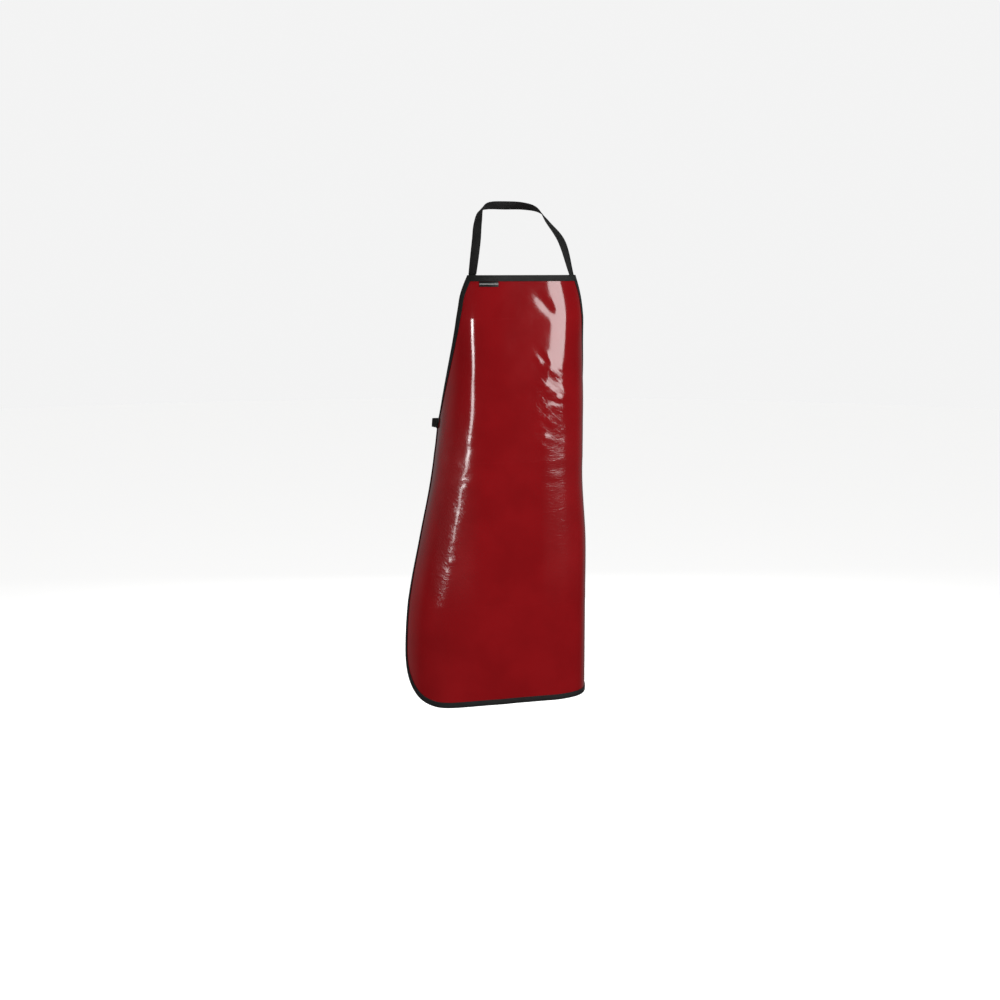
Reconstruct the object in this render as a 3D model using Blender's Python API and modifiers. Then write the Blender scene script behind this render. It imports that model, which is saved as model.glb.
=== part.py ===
"""Dishwashing apron: a bib apron of coated vinyl with bound edges, a neck strap and waist ties.

Metres, +Z up. The origin is the middle of the neck strap's inner face at the nape, where the
apron hangs. The apron's front faces -Y and the wearer's left is +X. "Down" is a distance along
the fabric from the bib's top edge, and "across" one from its centre line.
"""

import math

import bmesh
import bpy
import numpy as np
from mathutils import Vector

# Panel, as it is cut flat
PANEL_LENGTH = 0.945
PANEL_WIDTH = 0.60
BIB_WIDTH = 0.256
BIB_SHOULDER = 0.017
BIB_SHOULDER_DROP = 0.055
ARMHOLE_DEPTH = 0.322
ARMHOLE_FULLNESS = 1.6
HEM_CORNER_RADIUS = 0.12
PANEL_WALL = 0.0012

# Tape folded over every edge of the panel
BINDING_WIDTH = 0.013
BINDING_WALL = 0.0010

# Woven strap of the neck loop and the waist ties
STRAP_WIDTH = 0.019
STRAP_WALL = 0.0012
NECK_LAP = 0.022
TIE_BOW = 0.009
TIE_END_LENGTH = 0.20
TIE_END_SPLAY = 0.030
KNOT_WIDTH = 0.046
KNOT_DEPTH = 0.014
KNOT_HEIGHT = 0.030
KNOT_ROUNDING = 0.004

# Plain label under the top binding
LABEL_WIDTH = 0.040
LABEL_HEIGHT = 0.011
LABEL_WALL = 0.0010
LABEL_FROM_EDGE = 0.028

# Air between pieces that touch
GAP = 0.0003

# How the apron hangs
NECK_DEPTH = 0.065
BIB_DROP = 0.150
FRONT_REACH = 0.112
BACK_REACH = 0.118
FOLD_LIFT = 0.0015
FOLD_SPREAD = 0.026

# Mesh fineness: cells across and along, the steps that add up a section, the points that an
# edge and a strap's route are drawn through, and the distance over which a slope is taken
CELLS_ACROSS = 24
CELLS_ARMHOLE = 14
CELLS_SIDE = 19
CELLS_CORNER = 6
CELLS_LABEL = 4
CELLS_NECK = 46
CELLS_LAP = 2
CELLS_TIE = 20
CELLS_TIE_END = 8
SECTION_STEPS = 40
EDGE_POINTS = 181
ROUTE_POINTS = 401
SLOPE_REACH = 0.002

# Cross-sections of the hanging panel from the bib's top edge to the hem. Each side of a section
# runs flat from the centre, bends back, and goes on straight. down is a share of the panel's
# length, reach one of FRONT_REACH, run and bend shares of half the panel's width; turn is in
# degrees.
LEVEL_COLUMNS = ("down", "reach", "right_run", "right_bend", "right_turn",
                 "left_run", "left_bend", "left_turn")
LEVEL_ROWS = (
    (0.00, 0.96, 0.12, 0.56, 92.0, 0.12, 0.56, 92.0),
    (0.07, 1.00, 0.14, 0.62, 97.0, 0.14, 0.62, 97.0),
    (0.17, 1.00, 0.12, 0.68, 98.0, 0.12, 0.68, 98.0),
    (0.27, 0.98, 0.08, 0.78, 99.0, 0.10, 0.76, 100.0),
    (0.36, 0.95, 0.08, 0.82, 99.0, 0.10, 0.78, 101.0),
    (0.48, 0.92, 0.16, 0.76, 97.0, 0.12, 0.74, 100.0),
    (0.62, 0.89, 0.26, 0.72, 93.0, 0.18, 0.66, 97.0),
    (0.78, 0.86, 0.35, 0.72, 88.0, 0.20, 0.62, 95.0),
    (1.00, 0.83, 0.37, 0.70, 83.0, 0.21, 0.60, 93.0),
)
LEVELS = dict(zip(LEVEL_COLUMNS, np.array(LEVEL_ROWS).T))

# Fold lines left across the panel by its packing, as shares of its length
FOLD_LINES = (0.096, 0.422, 0.760)

# Inner face of the neck strap from above the bib's corner to the nape, on the wearer's left:
# out as a share of half the bib's width, ahead of the nape as a share of NECK_DEPTH, below it
# as a share of BIB_DROP, and the way that the strap's outer face looks.
NECK_COLUMNS = ("out", "ahead", "below", "face_out", "face_back", "face_up")
NECK_ROWS = (
    (0.735, 1.86, 0.52, 0.20, -0.80, 0.56),
    (0.620, 1.18, 0.27, 0.40, -0.35, 0.85),
    (0.495, 0.66, 0.07, 0.72, 0.10, 0.69),
    (0.300, 0.19, 0.01, 0.45, 0.70, 0.55),
    (0.000, 0.00, 0.00, 0.00, 0.94, 0.34),
)
NECK = dict(zip(NECK_COLUMNS, np.array(NECK_ROWS).T))

# A waist tie between its bow at the waist corner and the knot, on the wearer's left: out as a
# share of the way from the knot to the corner, back as a share of the way from the corner's
# depth to the knot's, and the way that the tie's outer face looks.
TIE_COLUMNS = ("out", "back", "face_out", "face_back")
TIE_ROWS = (
    (0.80, 0.62, 0.45, 0.89),
    (0.35, 0.98, 0.12, 0.99),
    (0.00, 1.00, 0.00, 1.00),
)
TIE = dict(zip(TIE_COLUMNS, np.array(TIE_ROWS).T))

# Finishes: colour as linear red, green and blue, and roughness
VINYL_FINISH = (0.235, 0.0065, 0.0085, 0.2)
TAPE_FINISH = (0.016, 0.016, 0.015, 0.7)
STRAP_FINISH = (0.013, 0.013, 0.013, 0.75)
LABEL_FINISH = (0.010, 0.010, 0.010, 0.6)

# Sizes that follow from those above
HALF_WIDTH = PANEL_WIDTH / 2
HALF_BIB = BIB_WIDTH / 2
PANEL_FACE = PANEL_WALL / 2
BINDING_IN = PANEL_FACE + GAP
BINDING_OUT = BINDING_IN + BINDING_WALL
LAP_AIR = GAP * 3
MITRE_CUT = GAP * 0.75
TIE_DOWN = ARMHOLE_DEPTH + STRAP_WIDTH / 2
TIE_HEIGHT = -BIB_DROP - TIE_DOWN
KNOT_BACK = BACK_REACH - NECK_DEPTH

# The binding's folded section: how far each corner lies in from the finished edge, and how far
# outside the panel's middle surface
BINDING_PROFILE = (
    (BINDING_WIDTH, BINDING_OUT),
    (0.0, BINDING_OUT),
    (0.0, -BINDING_OUT),
    (BINDING_WIDTH, -BINDING_OUT),
    (BINDING_WIDTH, -BINDING_IN),
    (BINDING_WALL, -BINDING_IN),
    (BINDING_WALL, BINDING_IN),
    (BINDING_WIDTH, BINDING_IN),
)


def clear_scene():
    """Remove every object, so that the model stands alone."""
    for obj in list(bpy.data.objects):
        bpy.data.objects.remove(obj, do_unlink=True)


def eased(share):
    """Run smoothly from 0 to 1 while the share does, and stay there outside."""
    share = np.clip(share, 0.0, 1.0)
    return share * share * (3.0 - 2.0 * share)


def smooth_curve(keys, values, key):
    """Read a smooth curve through the values at the keys."""
    slopes = np.gradient(values, keys)
    last = len(keys) - 2
    place = min(max(int(np.searchsorted(keys, key, side="right")) - 1, 0), last)
    span = keys[place + 1] - keys[place]
    share = (key - keys[place]) / span
    rest = 1.0 - share
    start = values[place] * (1.0 + 2.0 * share) + slopes[place] * span * share
    end = values[place + 1] * (1.0 + 2.0 * rest) - slopes[place + 1] * span * rest
    return start * rest * rest + end * share * share


def level_value(column, down):
    """Read one column of the cross-sections at a distance down the fabric."""
    return smooth_curve(LEVELS["down"], LEVELS[column], down / PANEL_LENGTH)


def fold_lift(down):
    """How far the fabric stands out near a fold line."""
    distance = min(abs(down - share * PANEL_LENGTH) for share in FOLD_LINES)
    return FOLD_LIFT * (1.0 - eased(distance / FOLD_SPREAD))


def panel_point(across, down):
    """Where a point of the flat fabric lies on the hanging panel's middle surface."""
    side = "right" if across < 0 else "left"
    run = level_value(side + "_run", down) * HALF_WIDTH
    bend = level_value(side + "_bend", down) * HALF_WIDTH
    full_turn = math.radians(level_value(side + "_turn", down))
    step = abs(across) / SECTION_STEPS
    middles = (np.arange(SECTION_STEPS) + 0.5) * step
    turns = full_turn * eased((middles - run) / bend)
    out = math.copysign(step * np.cos(turns).sum(), across)
    back = step * np.sin(turns).sum()
    ahead = FRONT_REACH * level_value("reach", down) + fold_lift(down)
    return Vector((out, back - NECK_DEPTH - ahead, -BIB_DROP - down))


def panel_normal(across, down):
    """The way that the panel's outer face looks at a point of the flat fabric."""
    along = panel_point(across + SLOPE_REACH, down) - panel_point(across - SLOPE_REACH, down)
    fall = panel_point(across, down + SLOPE_REACH) - panel_point(across, down - SLOPE_REACH)
    return fall.cross(along).normalized()


def lifted_point(across, down, lift):
    """A point at a distance outside the panel's middle surface."""
    return panel_point(across, down) + lift * panel_normal(across, down)


def even_points(points, cells):
    """Spread points evenly along a finely drawn line; columns after the third only follow it."""
    points = np.array(points, dtype=float)
    steps = np.linalg.norm(np.diff(points[:, :3], axis=0), axis=1)
    run = np.concatenate(([0.0], np.cumsum(steps)))
    marks = np.linspace(0.0, run[-1], cells + 1)
    return np.stack([np.interp(marks, run, column) for column in points.T], axis=1)


def armhole_line():
    """The finished edge from the bib's corner to the waist corner, on the wearer's left."""
    angles = np.linspace(0.0, math.pi / 2, EDGE_POINTS)
    power = 2.0 / ARMHOLE_FULLNESS
    down = ARMHOLE_DEPTH * np.sin(angles) ** power
    sweep = (HALF_WIDTH - HALF_BIB - BIB_SHOULDER) * (1.0 - np.cos(angles) ** power)
    shoulder = BIB_SHOULDER * np.sin(np.clip(down / BIB_SHOULDER_DROP, 0.0, 1.0) * math.pi / 2)
    return even_points(np.stack([HALF_BIB + shoulder + sweep, down], axis=1), CELLS_ARMHOLE)


def side_line():
    """The finished edge from the waist corner to the top of the hem's corner."""
    end = PANEL_LENGTH - HEM_CORNER_RADIUS
    return even_points([(HALF_WIDTH, ARMHOLE_DEPTH), (HALF_WIDTH, end)], CELLS_SIDE)


def corner_line():
    """The rounded corner between the side and the hem."""
    angles = np.linspace(0.0, math.pi / 2, CELLS_CORNER + 1)
    across = HALF_WIDTH - HEM_CORNER_RADIUS * (1.0 - np.cos(angles))
    down = PANEL_LENGTH - HEM_CORNER_RADIUS * (1.0 - np.sin(angles))
    return np.stack([across, down], axis=1)


def side_edge():
    """Stations of the finished edge from the bib's corner to the hem, on the wearer's left.

    Each also has the step that moves it in from the edge by one unit, mitred at the corners.
    """
    stations = np.concatenate([armhole_line(), side_line()[1:], corner_line()[1:]])
    ways = np.diff(stations, axis=0)
    ways = ways / np.linalg.norm(ways, axis=1)[:, None]
    ways = np.vstack([(1.0, 0.0), ways, (-1.0, 0.0)])
    inward = np.stack([-ways[:, 1], ways[:, 0]], axis=1)
    middle = inward[:-1] + inward[1:]
    steps = 2.0 * middle / (middle * middle).sum(axis=1)[:, None]
    return stations, steps


def level_edge(corner, step):
    """Stations along the top or the hem, from the wearer's right to the left corner."""
    shares = np.linspace(-1.0, 1.0, CELLS_ACROSS + 1)
    stations = np.stack([shares * corner[0], np.full(len(shares), corner[1])], axis=1)
    steps = np.stack([shares * step[0], np.full(len(shares), step[1])], axis=1)
    return stations, steps


def leads(first, second):
    """Whether the first of two neighbouring stations is the higher, or else the one further right.

    The panel's and the binding's facets are split alike from it, so that they lie parallel.
    """
    if abs(first[1] - second[1]) > GAP:
        return first[1] < second[1]
    return first[0] < second[0]


def finish_mesh(name, sheet):
    """Turn a drawn sheet into a mesh."""
    mesh = bpy.data.meshes.new(name)
    sheet.to_mesh(mesh)
    sheet.free()
    return mesh


def grid_mesh(name, rows):
    """A mesh sheet through rows of points, made from a grid."""
    sheet = bmesh.new()
    last_row = len(rows) - 1
    last_column = len(rows[0]) - 1
    bmesh.ops.create_grid(sheet, x_segments=last_column, y_segments=last_row, size=1.0)
    for vertex in sheet.verts:
        column = round((vertex.co.x + 1.0) / 2.0 * last_column)
        row = round((vertex.co.y + 1.0) / 2.0 * last_row)
        vertex.co = rows[row][column]
    return finish_mesh(name, sheet)


def make_material(name, finish):
    """A plain material of one finish."""
    material = bpy.data.materials.new(name)
    material.use_nodes = True
    shader = material.node_tree.nodes["Principled BSDF"]
    shader.inputs["Base Color"].default_value = (*finish[:3], 1.0)
    shader.inputs["Roughness"].default_value = finish[3]
    shader.inputs["Metallic"].default_value = 0.0
    return material


def add_piece(mesh, collection, finish):
    """Put a mesh into the model as a piece with its own material."""
    obj = bpy.data.objects.new(mesh.name, mesh)
    collection.objects.link(obj)
    mesh.materials.append(make_material(mesh.name + "_finish", finish))
    return obj


def add_wall(obj, thickness, offset):
    """Give an open sheet its wall; offset 1 grows it outwards and 0 both ways."""
    wall = obj.modifiers.new("Wall", "SOLIDIFY")
    wall.thickness = thickness
    wall.offset = offset
    wall.use_even_offset = True


def make_panel(collection):
    """The vinyl sheet, whose outermost ring of cells lies inside the binding."""
    stations, steps = side_edge()
    inner = stations + BINDING_WIDTH * steps
    outer = stations + (BINDING_WALL + GAP) * steps
    shares = np.linspace(-1.0, 1.0, CELLS_ACROSS + 1)
    last_row = len(inner) - 1
    sheet = bmesh.new()
    bmesh.ops.create_grid(sheet, x_segments=CELLS_ACROSS, y_segments=last_row, size=1.0)
    edge_places = {}
    for vertex in sheet.verts:
        share = shares[round((vertex.co.x + 1.0) / 2.0 * CELLS_ACROSS)]
        row = round((vertex.co.y + 1.0) / 2.0 * last_row)
        vertex.co = (share * inner[row][0], inner[row][1], 0.0)
        if vertex.is_boundary:
            edge_places[vertex] = (share * outer[row][0], outer[row][1], 0.0)
    rim = [edge for edge in sheet.edges if edge.is_boundary]
    ring = bmesh.ops.extrude_edge_only(sheet, edges=rim)
    outside = {}
    for vertex in ring["geom"]:
        if isinstance(vertex, bmesh.types.BMVert):
            beside = [edge.other_vert(vertex) for edge in vertex.link_edges]
            source = next(other for other in beside if other in edge_places)
            vertex.co = edge_places[source]
            outside[source] = vertex
    for edge in rim:
        first, second = edge.verts
        if not leads(first.co, second.co):
            first, second = second, first
        bmesh.ops.connect_verts(sheet, verts=[first, outside[second]])
    for vertex in sheet.verts:
        vertex.co = panel_point(vertex.co.x, vertex.co.y)
    bmesh.ops.recalc_face_normals(sheet, faces=sheet.faces)
    panel = add_piece(finish_mesh("apron_panel", sheet), collection, VINYL_FINISH)
    add_wall(panel, PANEL_WALL, 0.0)


def trimmed(stations):
    """The same stations with the first and last moved in, to leave air at the mitres."""
    stations = np.array(stations)
    ways = np.diff(stations, axis=0)
    stations[0] += MITRE_CUT * ways[0] / np.linalg.norm(ways[0])
    stations[-1] -= MITRE_CUT * ways[-1] / np.linalg.norm(ways[-1])
    return stations


def add_binding(name, edge, collection):
    """A tape folded over the panel's edge: its section lofted through the edge's stations."""
    stations, steps = edge
    sheet = bmesh.new()
    rings = []
    for station, step in zip(trimmed(stations), steps):
        flat = [station + inset * step for inset, lift in BINDING_PROFILE]
        rings.append([sheet.verts.new(lifted_point(*place, lift))
                      for place, (inset, lift) in zip(flat, BINDING_PROFILE)])
    insets = [inset for inset, lift in BINDING_PROFILE]
    inner = stations + BINDING_WIDTH * steps
    for number, (ring, following) in enumerate(zip(rings, rings[1:])):
        ring_leads = leads(inner[number], inner[number + 1])
        for corner in range(len(ring)):
            after = (corner + 1) % len(ring)
            quad = (ring[corner], ring[after], following[after], following[corner])
            if (insets[corner] > insets[after]) != ring_leads:
                quad = quad[1:] + quad[:1]
            sheet.faces.new((quad[0], quad[1], quad[2]))
            sheet.faces.new((quad[0], quad[2], quad[3]))
    last = len(BINDING_PROFILE) - 1
    for ring in (rings[0], rings[-1]):
        for low in range(last // 2):
            sheet.faces.new([ring[low], ring[low + 1], ring[last - low - 1], ring[last - low]])
    bmesh.ops.recalc_face_normals(sheet, faces=sheet.faces)
    add_piece(finish_mesh(name, sheet), collection, TAPE_FINISH)


def make_bindings(collection):
    """The four tapes: along the top, down each armhole, and round the sides and hem."""
    stations, steps = side_edge()
    add_binding("top_binding", level_edge(stations[0], steps[0]), collection)
    end = CELLS_ARMHOLE + 1
    for name, way in (("right", (-1.0, 1.0)), ("left", (1.0, 1.0))):
        add_binding("armhole_binding_" + name, (stations[:end] * way, steps[:end] * way),
                    collection)
    low = slice(CELLS_ARMHOLE, None)
    mirror = (-1.0, 1.0)
    hem_stations, hem_steps = level_edge(stations[-1], steps[-1])
    around = np.concatenate([stations[low] * mirror, hem_stations[1:-1], stations[low][::-1]])
    around_steps = np.concatenate([steps[low] * mirror, hem_steps[1:-1], steps[low][::-1]])
    add_binding("side_and_hem_binding", (around, around_steps), collection)


def make_label(collection):
    """The plain label, flat on the panel's front just below the top binding."""
    start = -HALF_BIB + LABEL_FROM_EDGE
    top = BINDING_WIDTH + GAP
    places = np.linspace(start, start + LABEL_WIDTH, CELLS_LABEL + 1)
    rows = [[lifted_point(place, down, BINDING_IN) for place in places]
            for down in (top + LABEL_HEIGHT, top)]
    label = add_piece(grid_mesh("label_tab", rows), collection, LABEL_FINISH)
    add_wall(label, LABEL_WALL, 1.0)


def smooth_route(points, cells):
    """Evenly spaced points on a smooth line through route points of any width."""
    points = np.array(points, dtype=float)
    chords = np.linalg.norm(np.diff(points[:, :3], axis=0), axis=1)
    keys = np.concatenate(([0.0], np.cumsum(chords)))
    fine_keys = np.linspace(0.0, keys[-1], ROUTE_POINTS)
    fine = [[smooth_curve(keys, column, key) for column in points.T] for key in fine_keys]
    return even_points(fine, cells)


def strap_rows(route):
    """Edges and middle of a flat strap, from its inner face's places and its face's ways."""
    ways = np.gradient(route[:, :3], axis=0)
    rows = []
    for place, way, face in zip(route[:, :3], ways, route[:, 3:]):
        place = Vector(place)
        side = Vector(way).cross(Vector(face)).normalized() * (STRAP_WIDTH / 2)
        rows.append([place - side, place, place + side])
    return rows


def add_strap(name, rows, collection):
    """A flat woven strap whose inner face goes through rows of points."""
    strap = add_piece(grid_mesh(name, rows), collection, STRAP_FINISH)
    add_wall(strap, STRAP_WALL, 1.0)


def lap_rows(places, lift):
    """Rows of a strap that lies on the panel; each place gives its two edges on the fabric."""
    rows = []
    for start, end in places:
        middle = ((start[0] + end[0]) / 2, (start[1] + end[1]) / 2)
        rows.append([lifted_point(*place, lift) for place in (start, middle, end)])
    return rows


def flipped(rows):
    """The same strap on the other side of the apron, with its face still outwards."""
    return [[Vector((-point.x, point.y, point.z)) for point in reversed(row)] for row in rows]


def make_neck_strap(collection):
    """The whole neck loop, from behind one corner of the bib round to the other."""
    outer_edge = HALF_BIB - BINDING_WALL
    inner_edge = outer_edge - STRAP_WIDTH
    lift = -(BINDING_OUT + LAP_AIR + STRAP_WALL)
    lap = lap_rows([((inner_edge, down), (outer_edge, down))
                    for down in np.linspace(NECK_LAP, 0.0, CELLS_LAP + 1)], lift)
    start = (*lap[-1][1], *panel_normal((inner_edge + outer_edge) / 2, 0.0))
    free = np.stack([NECK["out"] * HALF_BIB, -NECK["ahead"] * NECK_DEPTH,
                     -NECK["below"] * BIB_DROP, NECK["face_out"], NECK["face_back"],
                     NECK["face_up"]], axis=1)
    left = np.vstack([start, free])
    right = left[-2::-1] * (-1.0, 1.0, 1.0, -1.0, 1.0, 1.0)
    loop = strap_rows(smooth_route(np.concatenate([left, right]), CELLS_NECK))
    add_strap("neck_strap", lap + loop[1:-1] + flipped(lap[::-1]), collection)


def make_ties(collection):
    """The waist ties, each lapped on its waist corner, bowed out and led round to the knot."""
    lift = BINDING_OUT + LAP_AIR
    start = KNOT_WIDTH / 2 + GAP
    for name, way in (("right", -1.0), ("left", 1.0)):
        first_down = TIE_DOWN - way * STRAP_WIDTH / 2
        last_down = TIE_DOWN + way * STRAP_WIDTH / 2
        lap = lap_rows([((way * across, first_down), (way * across, last_down))
                        for across in np.linspace(HALF_WIDTH - BINDING_WIDTH, HALF_WIDTH,
                                                  CELLS_LAP + 1)], lift)
        edge = lap[-1][1]
        face = panel_normal(way * HALF_WIDTH, TIE_DOWN)
        back = (edge - lap[0][1]).normalized()
        bow = edge + TIE_BOW * (face + back)
        free = np.stack([way * (start + TIE["out"] * (abs(edge.x) - start)),
                         edge.y + TIE["back"] * (KNOT_BACK - edge.y),
                         np.full(len(TIE_ROWS), TIE_HEIGHT),
                         way * TIE["face_out"], TIE["face_back"], np.zeros(len(TIE_ROWS))], axis=1)
        route = np.vstack([(*edge, *face), (*bow, *(face + back)), free])
        rows = lap + strap_rows(smooth_route(route, CELLS_TIE))[1:]
        add_strap("waist_tie_" + name, rows, collection)


def make_knot(collection):
    """The plain knot behind the waist."""
    sheet = bmesh.new()
    bmesh.ops.create_cube(sheet, size=1.0)
    bmesh.ops.scale(sheet, vec=(KNOT_WIDTH, KNOT_DEPTH, KNOT_HEIGHT), verts=sheet.verts)
    middle = (0.0, KNOT_BACK + STRAP_WALL / 2, TIE_HEIGHT)
    bmesh.ops.translate(sheet, vec=middle, verts=sheet.verts)
    knot = add_piece(finish_mesh("tie_knot", sheet), collection, STRAP_FINISH)
    rounding = knot.modifiers.new("Rounding", "BEVEL")
    rounding.width = KNOT_ROUNDING
    rounding.segments = 2


def make_tie_ends(collection):
    """The two plain ends that hang below the knot."""
    top = TIE_HEIGHT - KNOT_HEIGHT / 2 - GAP
    start = STRAP_WIDTH / 2 + GAP
    for name, way in (("right", -1.0), ("left", 1.0)):
        shares = np.linspace(0.0, 1.0, CELLS_TIE_END + 1)
        outs = way * (start + TIE_END_SPLAY * shares ** 2)
        rows = [[Vector((out + side * STRAP_WIDTH / 2, KNOT_BACK, top - share * TIE_END_LENGTH))
                 for side in (-1.0, 0.0, 1.0)] for out, share in zip(outs, shares)]
        add_strap("tie_end_" + name, rows, collection)


def main():
    """Build the apron."""
    clear_scene()
    collection = bpy.data.collections.new("dishwashing_apron")
    bpy.context.scene.collection.children.link(collection)
    make_panel(collection)
    make_bindings(collection)
    make_label(collection)
    make_neck_strap(collection)
    make_ties(collection)
    make_knot(collection)
    make_tie_ends(collection)


main()
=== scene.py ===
"""Dishwashing apron: the looks of a glossy vinyl bib apron with bound edges and woven straps.

Metres, +Z up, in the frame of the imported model. The apron's front faces -Y, the wearer's left is
+X, and the origin is the neck strap's inner face at the nape. "Down" is a distance along the cloth
from the bib's top edge, and "across" one from its centre line.
"""

import math

import bpy
import numpy as np
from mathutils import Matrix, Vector


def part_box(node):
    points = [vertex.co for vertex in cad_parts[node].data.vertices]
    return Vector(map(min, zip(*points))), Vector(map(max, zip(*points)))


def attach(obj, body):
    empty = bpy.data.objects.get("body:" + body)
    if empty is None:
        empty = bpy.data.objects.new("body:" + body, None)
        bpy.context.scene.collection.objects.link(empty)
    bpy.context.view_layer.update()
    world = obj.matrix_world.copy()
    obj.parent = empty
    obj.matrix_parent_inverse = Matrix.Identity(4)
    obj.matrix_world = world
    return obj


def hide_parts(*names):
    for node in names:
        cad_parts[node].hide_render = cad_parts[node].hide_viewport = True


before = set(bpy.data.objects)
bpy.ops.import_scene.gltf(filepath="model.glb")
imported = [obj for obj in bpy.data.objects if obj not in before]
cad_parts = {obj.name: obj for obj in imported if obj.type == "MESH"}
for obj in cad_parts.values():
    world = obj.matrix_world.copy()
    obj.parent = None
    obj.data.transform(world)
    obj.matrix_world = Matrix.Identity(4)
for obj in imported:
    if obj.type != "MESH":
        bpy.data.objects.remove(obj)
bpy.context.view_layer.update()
KNOT_LOW, KNOT_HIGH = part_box("tie_knot")
END_LOW, END_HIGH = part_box("tie_end_left")

bl_info = {
    "name": "Dishwashing apron",
    "version": (1, 0, 0),
    "blender": (4, 5, 0),
    "location": "3D Viewport > Sidebar > Apron",
    "description": "Builds a glossy vinyl bib apron with bound edges and woven straps",
    "category": "Add Mesh",
}

BODY = "root"
FLAT_MAP = "Flat"
WHITE = (1.0, 1.0, 1.0, 1.0)


def named_rows(columns, rows):
    """Each row of a table, with its values under the columns' names."""
    return [dict(zip(columns, row)) for row in rows]


def named_columns(columns, rows):
    """Each column of a table as an array, under its name."""
    return dict(zip(columns, np.array(rows).T))


# Mesh fineness: cells across the panel, down the armhole, side and hem corner, along straps, and
# the steps that add up a cross-section
CELLS_ACROSS = 150
CELLS_ARMHOLE = 96
CELLS_SIDE = 128
CELLS_CORNER = 40
CELLS_FOLD = 8
CELLS_LABEL = 48
CELLS_NECK = 230
CELLS_LAP = 10
CELLS_TIE = 90
CELLS_TIE_END = 60
SECTION_STEPS = 48
EDGE_POINTS = 181
ROUTE_POINTS = 401
SLOPE_REACH = 0.001

# Cross-sections of the hanging panel, as in its construction: down is a share of the panel's
# length, reach one of the front's reach, run and bend shares of half the panel's width; turn is
# in degrees.
LEVEL_COLUMNS = ("down", "reach", "right_run", "right_bend", "right_turn",
                 "left_run", "left_bend", "left_turn")
LEVEL_ROWS = (
    (0.00, 0.96, 0.12, 0.56, 92.0, 0.12, 0.56, 92.0),
    (0.07, 1.00, 0.14, 0.62, 97.0, 0.14, 0.62, 97.0),
    (0.17, 1.00, 0.12, 0.68, 98.0, 0.12, 0.68, 98.0),
    (0.27, 0.98, 0.08, 0.78, 99.0, 0.10, 0.76, 100.0),
    (0.36, 0.95, 0.08, 0.82, 99.0, 0.10, 0.78, 101.0),
    (0.48, 0.92, 0.16, 0.76, 97.0, 0.12, 0.74, 100.0),
    (0.62, 0.89, 0.26, 0.72, 93.0, 0.18, 0.66, 97.0),
    (0.78, 0.86, 0.35, 0.72, 88.0, 0.20, 0.62, 95.0),
    (1.00, 0.83, 0.37, 0.70, 83.0, 0.21, 0.60, 93.0),
)
LEVELS = named_columns(LEVEL_COLUMNS, LEVEL_ROWS)

# Fold lines left across the panel by its packing, as shares of its length
FOLD_LINES = (0.096, 0.422, 0.760)
FOLD_LIFT = 0.0003
FOLD_SPREAD = 0.026
FOLD_RIDGE = 0.00012
FOLD_RIDGE_WIDTH = 0.004

# Slow waves of the hanging cloth: their height, where they are strongest down the panel and how
# far they reach as shares of its length, the wave across and down, and its phase in turns
WAVES = named_rows(("height", "middle", "reach", "across", "down", "phase"), (
    (0.00050, 0.95, 0.45, 0.115, 1.60, 0.10),
    (0.00035, 0.90, 0.40, 0.062, 2.20, 0.55),
    (0.00030, 0.45, 0.30, 0.150, 0.34, 0.30),
    (0.00012, 0.30, 0.25, 0.085, 0.11, 0.70),
))

# Soft dents pressed into the cloth: depth, the middle as shares of half the panel's width and of
# its length, the half sizes, and the way that the long side runs, in degrees from level
DENT_COLUMNS = ("depth", "across", "down", "long", "short", "tilt")
DENTS = named_rows(DENT_COLUMNS, (
    (0.00110, 0.160, 0.072, 0.036, 0.012, 47.0),
    (0.00130, 0.285, 0.004, 0.055, 0.022, 78.0),
    (0.00065, -0.235, 0.078, 0.016, 0.0055, -45.0),
    (0.00060, -0.360, 0.870, 0.160, 0.012, 90.0),
))

# Small crumples pressed into the cloth, by region: how many, the region's middle and half sizes
# as shares of half the panel's width and of its length, the tilt of a crumple's long side in
# degrees from level, and its depth
CRUMPLED = named_rows(("count", "across", "down", "wide", "tall", "tilt", "depth"), (
    (60, 0.225, 0.290, 0.130, 0.110, 30.0, 0.00038),
    (20, 0.235, 0.430, 0.095, 0.050, 3.0, 0.00024),
    (70, -0.540, 0.520, 0.140, 0.160, -8.0, 0.00056),
))
# A crumple's least share of that depth, the range of its two half sizes, and the most that its
# tilt swings
CRUMPLE_LEAST = 0.5
CRUMPLE_LONG = (0.009, 0.024)
CRUMPLE_SHORT = (0.006, 0.009)
CRUMPLE_SWING = 28.0
CRUMPLE_SEED = 11

# Inner face of the neck strap from above the bib's corner to the nape, on the wearer's left:
# out as a share of half the bib's width, ahead of the nape as a share of the neck's depth, below
# it as a share of the bib's drop, and the way that the strap's outer face looks.
NECK_COLUMNS = ("out", "ahead", "below", "face_out", "face_back", "face_up")
NECK_ROWS = (
    (0.735, 1.86, 0.52, 0.20, -0.80, 0.56),
    (0.620, 1.18, 0.27, 0.40, -0.35, 0.85),
    (0.495, 0.66, 0.07, 0.72, 0.10, 0.69),
    (0.300, 0.19, 0.01, 0.45, 0.70, 0.55),
    (0.000, 0.00, 0.00, 0.00, 0.94, 0.34),
)
NECK = named_columns(NECK_COLUMNS, NECK_ROWS)

# A waist tie between its bow at the waist corner and the knot: out as a share of the way from
# the knot to the corner, back as a share of the way from the corner's depth to the knot's, and
# the way that the tie's outer face looks.
TIE_COLUMNS = ("out", "back", "face_out", "face_back")
TIE_ROWS = (
    (0.80, 0.62, 0.45, 0.89),
    (0.35, 0.98, 0.12, 0.99),
    (0.00, 1.00, 0.00, 1.00),
)
TIE = named_columns(TIE_COLUMNS, TIE_ROWS)

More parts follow.
